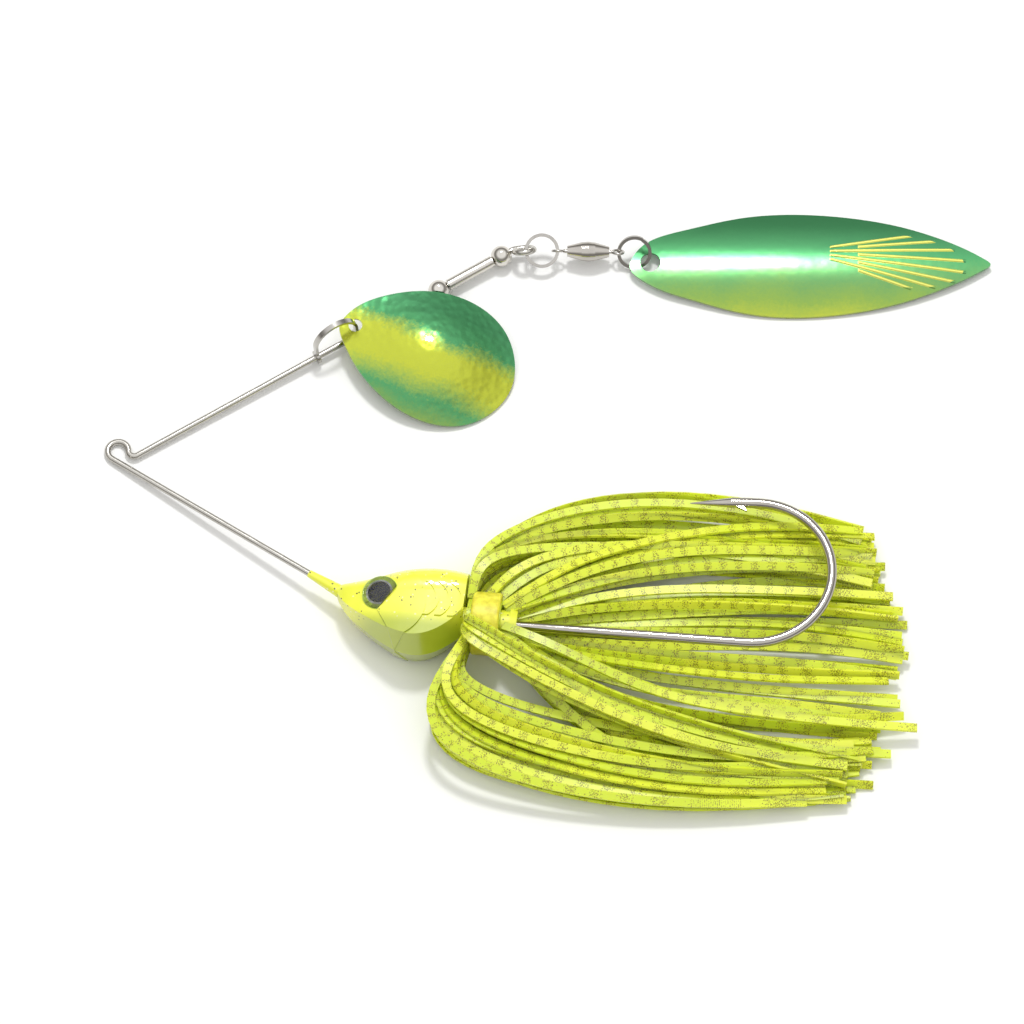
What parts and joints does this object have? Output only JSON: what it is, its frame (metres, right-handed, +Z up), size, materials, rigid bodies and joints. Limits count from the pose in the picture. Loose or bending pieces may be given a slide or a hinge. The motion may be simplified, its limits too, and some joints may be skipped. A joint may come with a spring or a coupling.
{
  "type": "spinnerbait",
  "caption": "Double-arm spinnerbait: bent wire with an open line tie, painted fish head on a single hook, flecked chartreuse silicone skirt, a round and a long lacquered blade, beads and a barrel swivel.",
  "frame": {"origin": "middle of the lure's footprint on the table, lying on its side", "axes": "+X from the line tie towards the long blade's tip, +Y towards the blade arm, +Z up from the table"},
  "size_m": [0.1327, 0.0983, 0.0103],
  "materials": {
    "stainless_wire": "drawn bright stainless",
    "hook_nickel": "polished nickel",
    "head_paint": "gloss chartreuse over lead",
    "eye_foil": "lime foil printed with a black pupil and a silver ring",
    "clear_resin": "clear epoxy",
    "band_rubber": "soft yellow rubber",
    "skirt_silicone": "flecked chartreuse silicone",
    "nickel_dark": "black nickel",
    "bead_nickel": "polished nickel",
    "round_lacquer": "green and gold candy lacquer on hammered brass",
    "long_lacquer": "green and gold candy lacquer on brass"
  },
  "bodies": {
    "lure": {"wire_frame": "stainless_wire", "hook": "hook_nickel", "head": "head_paint", "upper_eye_foil": "eye_foil", "lower_eye_foil": "eye_foil", "upper_eye_dome": "clear_resin", "lower_eye_dome": "clear_resin", "skirt_collar": "band_rubber", "skirt_root": "skirt_silicone", "skirt_core": "skirt_silicone", "skirt_under": "skirt_silicone", "skirt_upper_lobe": "skirt_silicone", "skirt_lower_lobe": "skirt_silicone"},
    "clevis": {"clevis": "nickel_dark"},
    "round_blade": {"colorado_blade": "round_lacquer"},
    "front_bead": {"front_bead": "bead_nickel"},
    "tube": {"spacer_tube": "bead_nickel"},
    "rear_bead": {"rear_bead": "bead_nickel"},
    "front_ring": {"front_split_ring": "nickel_dark"},
    "swivel_front": {"swivel_front_eye": "nickel_dark"},
    "swivel_barrel": {"swivel_barrel": "nickel_dark", "bearing_balls": "nickel_dark"},
    "swivel_rear": {"swivel_rear_eye": "nickel_dark"},
    "rear_ring": {"rear_split_ring": "nickel_dark"},
    "long_blade": {"willow_blade": "long_lacquer"}
  },
  "joints": [
    {"name": "clevis_spin", "type": "hinge", "parent": "lure", "child": "clevis", "pos_m": [-0.0319, 0.02704, 0.00147], "axis": [0.8593, 0.5111, 0.0176], "continuous": true},
    {"name": "round_blade_swing", "type": "hinge", "parent": "clevis", "child": "round_blade", "pos_m": [-0.02911, 0.02899, 0.00472], "axis": [-0.3628, -0.9241, -0.1203], "range_deg": [-2, 30]},
    {"name": "front_bead_slide", "type": "slide", "parent": "lure", "child": "front_bead", "axis": [-0.8593, -0.5111, -0.0176], "range_m": [0, 0.009]},
    {"name": "tube_spin", "type": "hinge", "parent": "lure", "child": "tube", "pos_m": [-0.01198, 0.03888, 0.00188], "axis": [0.8593, 0.5111, 0.0176], "continuous": true},
    {"name": "rear_bead_spin", "type": "hinge", "parent": "lure", "child": "rear_bead", "pos_m": [-0.0073, 0.04167, 0.00197], "axis": [0.8593, 0.5111, 0.0176], "continuous": true},
    {"name": "front_ring_swing", "type": "hinge", "parent": "lure", "child": "front_ring", "pos_m": [-0.00357, 0.04206, 0.00317], "axis": [0.0239, -0.6205, 0.7839], "range_deg": [-10, 10]},
    {"name": "front_eye_swing", "type": "hinge", "parent": "front_ring", "child": "swivel_front", "pos_m": [0.00113, 0.04206, 0.00297], "axis": [0.0177, 0.9135, 0.4063], "range_deg": [-20, 20]},
    {"name": "barrel_spin", "type": "hinge", "parent": "swivel_front", "child": "swivel_barrel", "pos_m": [0.00572, 0.04206, 0.00277], "axis": [0.999, 0, -0.0436], "continuous": true},
    {"name": "rear_eye_spin", "type": "hinge", "parent": "swivel_barrel", "child": "swivel_rear", "pos_m": [0.01022, 0.04206, 0.00257], "axis": [0.999, 0, -0.0436], "continuous": true},
    {"name": "rear_ring_swing", "type": "hinge", "parent": "swivel_rear", "child": "rear_ring", "pos_m": [0.01032, 0.04206, 0.00257], "axis": [0.0314, 0.6947, 0.7187], "range_deg": [-20, 20]},
    {"name": "long_blade_swing", "type": "hinge", "parent": "rear_ring", "child": "long_blade", "pos_m": [0.0145, 0.04108, 0.00136], "axis": [0.6263, 0.5548, 0.5477], "range_deg": [-8, 8]}
  ]
}
